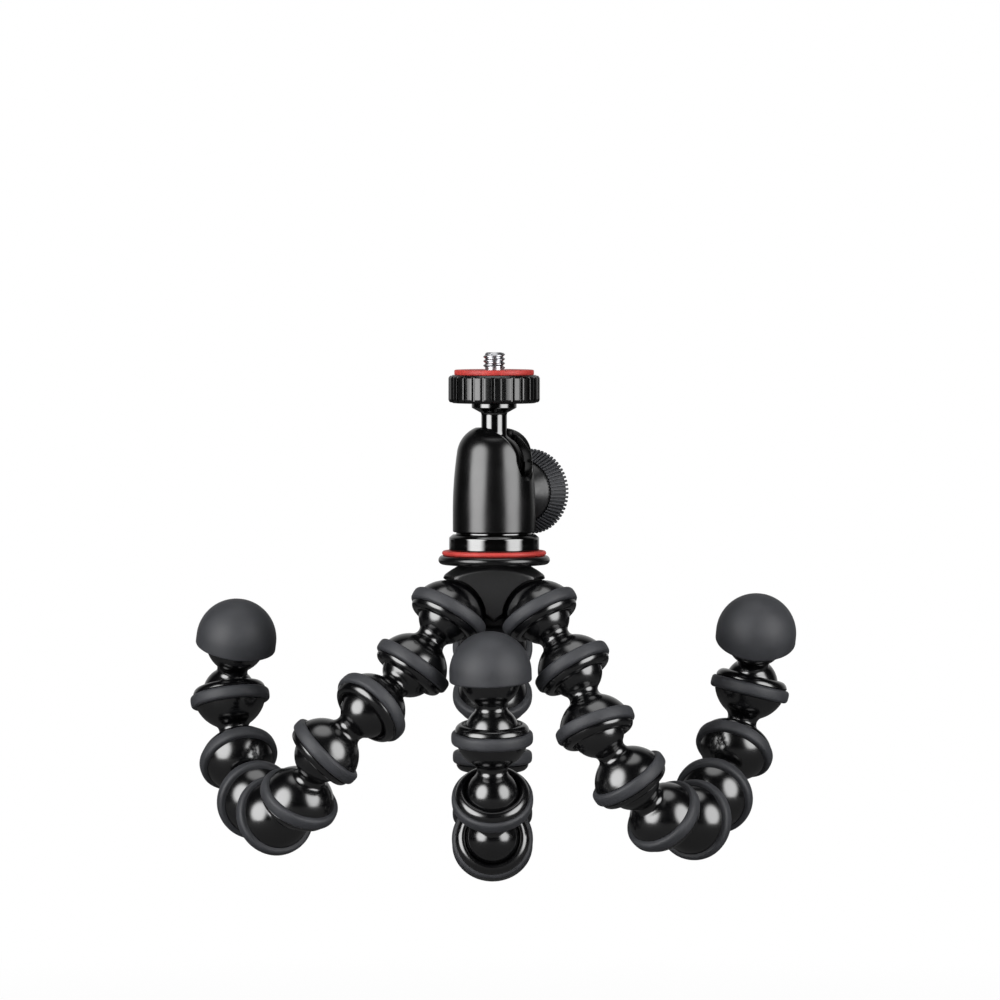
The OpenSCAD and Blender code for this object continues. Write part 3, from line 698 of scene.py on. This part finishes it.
piece("screw_threaded", screw, "camera_plate", steel,
      Matrix.Translation(AXIS + Vector((0, 0, PAD_Z)) * MM), ["camera_screw"])
print("made the pad and a screw with", turns, "turns of thread")

# %% [markdown]
# ## The locking knob
# The knob is a smooth dished core with a ribbed rubber band round its cone. The ribs run from the core to the
# rim, so one rib is spun over a few degrees of the band's outline and copied round.

# %% Knob core and ribbed band
RIBS, RIB_SHARE = 64, 0.5
knob_place = aimed(AXIS + Vector((0, 0, KNOB_Z)) * MM, heading(KNOB_TURN, 0))
core = ([(0, 21.6), (3.05, 21.6), (3.05, 13.0), (6.0, 13.0), (8.6, 16.4)]
        + [(9.0, 17.2), (9.0, 22.1), (8.6, 22.6), (0, 22.6)])
piece("knob_core_turning", spun(core, 96, 0.25), "knob", satin, knob_place, ["knob_core"])
band = spun([(9.05, 17.6), (9.25, 17.6), (11.5, 21.7), (11.5, 22.4), (11.3, 22.6), (9.05, 22.6)], 128, 0.12,
            True)
rib = spun([(9.1, 17.0), (9.5, 16.75), (12.4, 21.6), (12.4, 22.3), (12.0, 22.55), (9.1, 22.4)], 2, 0, True,
           360 / RIBS * RIB_SHARE)
closed_up(rib)
soft_edges(rib, 0.1)
copied_round(rib, RIBS)
taken_in(band, rib)
piece("knob_band_ribbed", band, "knob", rubber, knob_place, ["knob_grip"])
print("made the knob with", RIBS, "ribs")

# %% [markdown]
# ## Inner parts
# The bolt, washers, insert, seat, plunger and knob screw keep their exact CAD shapes, because they are hidden
# or nearly so. They only change their material.

# %% Finishes of the inner parts
for name, material in {"pan_washer": acetal, "ball_seat": acetal, "base_bolt": steel, "bolt_washer": steel,
                       "threaded_insert": brass, "brake_plunger": steel, "knob_screw": steel}.items():
    mesh = frame["nodes"][name].data
    mesh.materials.clear()
    mesh.materials.append(material)
print("dressed the inner parts")

# %% [markdown]
# ## Studio
# Two tall softboxes stand left and right of the camera with a dark gap between them, which gives each ball
# its pair of highlights, and a weak lamp hangs above. The light of each fades towards its edges. The floor
# is pale and lies below the reach of the hanging legs. The world is white to the camera, with a white wall
# behind the object for its reflections.

# %% Floor, lamps and world
FLOOR_HALF, FLOOR_DROP = 4.0, 0.12
LAMPS_AIM = Vector((0, 0, 0.03))
floor_bm = bmesh.new()
bmesh.ops.create_grid(floor_bm, x_segments=1, y_segments=1, size=FLOOR_HALF)
floor_bm.transform(Matrix.Translation((0, 0, cad_low.z - FLOOR_DROP)))
floor_mesh = bpy.data.meshes.new("floor")
floor_bm.to_mesh(floor_mesh)
floor_bm.free()
floor = bpy.data.objects.new("floor", floor_mesh)
bpy.context.scene.collection.objects.link(floor)
floor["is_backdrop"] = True
paper, tree = start("pale_paper")
seen = add(tree, "ShaderNodeLightPath")
spot = add(tree, "ShaderNodeTexCoord")
reach = add(tree, "ShaderNodeVectorMath", {"operation": "LENGTH"}, {0: spot.outputs["Object"]})
fade = add(tree, "ShaderNodeMapRange", {"From Min": 0.15, "From Max": 0.9, "To Min": 0.9, "To Max": 1.0},
           {"Value": reach.outputs["Value"]})
matte = add(tree, "ShaderNodeBsdfDiffuse", {"Color": linear("#606060")})
glow = add(tree, "ShaderNodeEmission", {"Color": (1, 1, 1, 1), "Strength": 1.0})
much = add(tree, "ShaderNodeMath", {"operation": "MULTIPLY"},
           {0: seen.outputs["Is Camera Ray"], 1: fade.outputs["Result"]})
mixed = add(tree, "ShaderNodeMixShader", links={0: much.outputs[0], 1: matte.outputs[0], 2: glow.outputs[0]})
add(tree, "ShaderNodeOutputMaterial", links={"Surface": mixed.outputs[0]})
floor_mesh.materials.append(paper)

for name, turn, slope, width, height, watts in (("softbox_left", -48, 14, 1.35, 1.6, 47),
                                                ("softbox_right", 53, 14, 1.25, 1.6, 36),
                                                ("top_light", 0, 85, 1.2, 1.2, 8)):
    lamp = bpy.data.lights.new(name, "AREA")
    lamp.shape = "RECTANGLE"
    lamp.size, lamp.size_y = width, height
    lamp.energy = watts
    lamp.use_nodes = True
    tree = lamp.node_tree
    tree.nodes.clear()
    cloth = add(tree, "ShaderNodeNewGeometry")
    away = add(tree, "ShaderNodeVectorMath", {"operation": "DISTANCE", 1: (0.5, 0.5, 0)},
               {0: cloth.outputs["Parametric"]})
    fall = add(tree, "ShaderNodeMapRange",
               {"interpolation_type": "SMOOTHSTEP", "From Min": 0.22, "From Max": 0.43, "To Min": 1.0,
                "To Max": 0.0}, {"Value": away.outputs["Value"]})
    glow = add(tree, "ShaderNodeEmission", {}, {"Strength": fall.outputs["Result"]})
    add(tree, "ShaderNodeOutputLight", links={"Surface": glow.outputs[0]})
    stand = bpy.data.objects.new(name, lamp)
    bpy.context.scene.collection.objects.link(stand)
    stand.location = LAMPS_AIM + heading(turn, slope)
    stand.rotation_euler = (LAMPS_AIM - stand.location).to_track_quat("-Z", "Y").to_euler()

world = bpy.data.worlds.new("studio")
bpy.context.scene.world = world
world.use_nodes = True
tree = world.node_tree
tree.nodes.clear()
seen = add(tree, "ShaderNodeLightPath")
way = add(tree, "ShaderNodeTexCoord")
parts = add(tree, "ShaderNodeSeparateXYZ", links={0: way.outputs["Generated"]})
wall = add(tree, "ShaderNodeMapRange", {"From Min": 0.5, "From Max": 0.95, "To Min": 0.012, "To Max": 0.6},
           {"Value": parts.outputs["Y"]})
soft = add(tree, "ShaderNodeBackground", {"Color": (1, 1, 1, 1), "Strength": 0.15})
back = add(tree, "ShaderNodeBackground", {"Color": (1, 1, 1, 1)}, {"Strength": wall.outputs["Result"]})
white = add(tree, "ShaderNodeBackground", {"Color": (1, 1, 1, 1), "Strength": 1.0})
shiny = add(tree, "ShaderNodeMixShader",
            links={0: seen.outputs["Is Glossy Ray"], 1: soft.outputs[0], 2: back.outputs[0]})
plain = add(tree, "ShaderNodeMath", {"operation": "MAXIMUM"},
            {0: seen.outputs["Is Camera Ray"], 1: seen.outputs["Is Transmission Ray"]})
both = add(tree, "ShaderNodeMixShader", links={0: plain.outputs[0], 1: shiny.outputs[0], 2: white.outputs[0]})
add(tree, "ShaderNodeOutputWorld", links={"Surface": both.outputs[0]})
print("made the floor, three lamps and the world")

# %% [markdown]
# ## Camera
# The photograph was taken with a long lens from almost two metres, a little above the head, so the lens is
# long here too and no shift is needed.

# %% Camera
eye = bpy.data.cameras.new("camera")
eye.sensor_width = 36.0
eye.lens = 230.4
eye.clip_end = 20.0
camera = bpy.data.objects.new("camera", eye)
bpy.context.scene.collection.objects.link(camera)
camera.location = (0, -1.855, 0.1394)
look_at = Vector((0.0017, 0, 0.064))
camera.rotation_euler = (look_at - camera.location).to_track_quat("-Z", "Y").to_euler()
bpy.context.scene.camera = camera
bpy.context.scene.view_settings.view_transform = "Standard"
print("camera at", [round(v, 3) for v in camera.location])

# %% [markdown]
# ## Sizes
# The box of the dressed model is written out in millimetres. The dressed model has to stay inside the
# CAD model's box.

# %% Write the box and finish
low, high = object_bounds()
print("visual box in mm:", [round(v * 1000, 1) for v in (*low, *high)])
